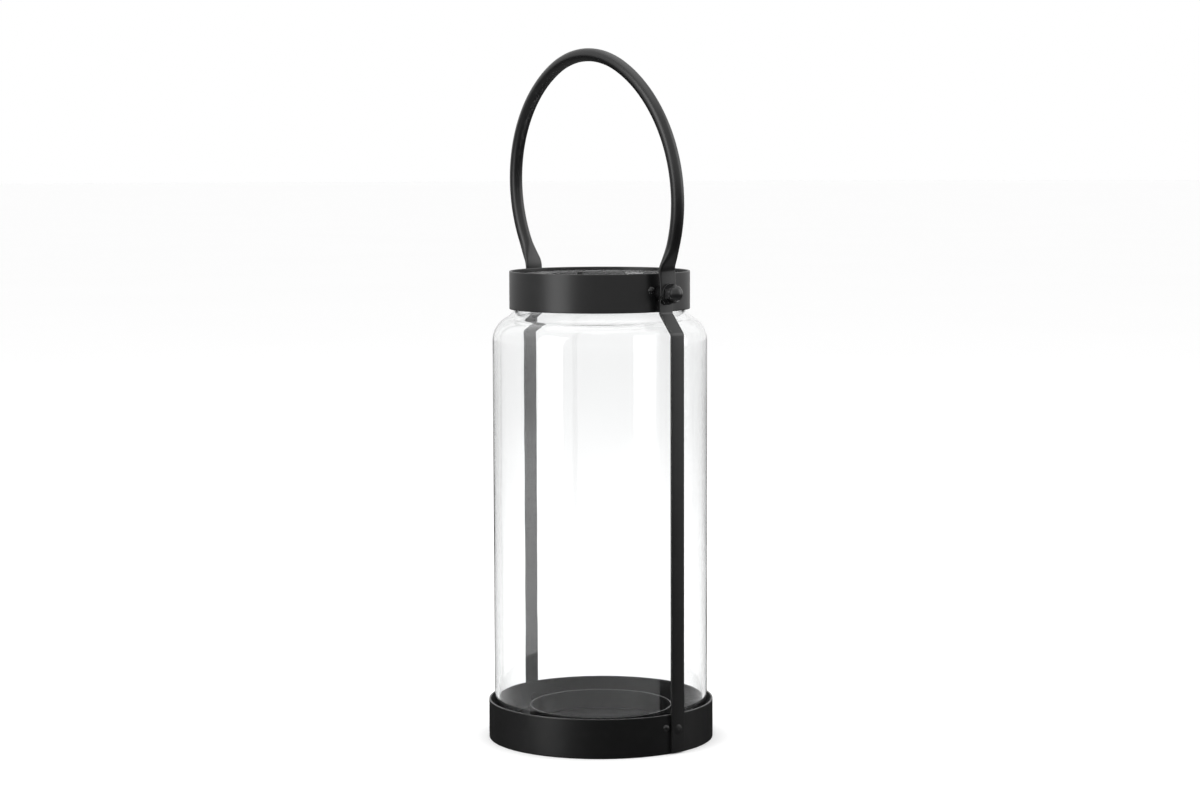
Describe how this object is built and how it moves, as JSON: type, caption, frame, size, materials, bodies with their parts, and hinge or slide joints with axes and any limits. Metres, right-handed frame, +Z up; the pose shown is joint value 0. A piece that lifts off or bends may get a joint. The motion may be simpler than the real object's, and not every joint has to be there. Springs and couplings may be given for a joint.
{
  "type": "candle lantern",
  "caption": "Tall glass candle lantern: clear jar in a shallow round metal base with a candle ring, collar and flat side straps, and an arched tube handle that swings.",
  "frame": {"origin": "centre of the base's underside, on the surface it stands on", "axes": "+Z up the jar; +X through the right-hand handle pivot and strap; +Y across, away from the side the handle leans to at rest"},
  "size_m": [0.1592, 0.14, 0.4276],
  "materials": {
    "black_metal": "satin black powder coat, fine even grain",
    "black_hardware": "smooth black-coated steel, slightly glossier than the sheet",
    "clear_glass": "clear polished soda-lime glass, edges fire polished"
  },
  "bodies": {
    "lantern": {"base_rim": "black_metal", "base_floor": "black_metal", "candle_ring": "black_metal", "collar_band": "black_metal", "strap_right": "black_metal", "strap_left": "black_metal", "rim_seam_plate": "black_metal", "collar_seam_plate": "black_metal", "glass_body": "clear_glass", "rim_seam_rivet": "black_hardware", "collar_seam_rivet": "black_hardware", "rim_rivet_right": "black_hardware", "pivot_bolt_right": "black_hardware", "spacer_right": "black_hardware", "washer_right": "black_hardware", "cap_nut_right": "black_hardware", "rim_rivet_left": "black_hardware", "pivot_bolt_left": "black_hardware", "spacer_left": "black_hardware", "washer_left": "black_hardware", "cap_nut_left": "black_hardware"},
    "handle": {"handle": "black_metal"}
  },
  "joints": [
    {"name": "handle_swing", "type": "hinge", "parent": "lantern", "child": "handle", "pos_m": [0, 0, 0.27962], "axis": [1, 0, 0], "range_deg": [-134, 126]}
  ]
}
